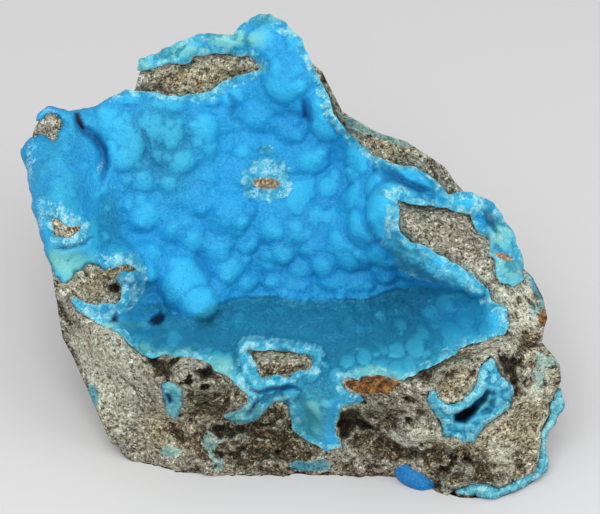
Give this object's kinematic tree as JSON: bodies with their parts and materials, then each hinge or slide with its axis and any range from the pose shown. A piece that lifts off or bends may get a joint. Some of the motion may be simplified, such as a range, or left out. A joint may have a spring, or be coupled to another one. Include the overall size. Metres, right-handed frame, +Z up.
{
  "type": "hemimorphite specimen",
  "caption": "Cabinet mineral specimen: granular matrix with an open vug lined by a blue botryoidal hemimorphite crust; lies on its flat underside.",
  "frame": {"origin": "centre of the bounding box, on the flat underside that the specimen rests on", "axes": "+Z up, +X along the specimen's width to the right as the open vug is looked into, +Y to the back; the vug opens towards -Y and +Z"},
  "size_m": [0.1072, 0.0768, 0.069],
  "materials": {
    "matrix": "rough, granular, with dark pits and rusty spots",
    "blue_crust": "satin botryoidal crust, sparkling and pale at broken edges",
    "teal_crust": "satin druse, pale at broken edges"
  },
  "bodies": {
    "root": {"matrix_rock": "matrix", "vug_crust": "blue_crust", "small_vug_crust": "teal_crust", "window_crust": "teal_crust", "edge_crust": "teal_crust", "base_crust": "blue_crust"}
  },
  "joints": []
}
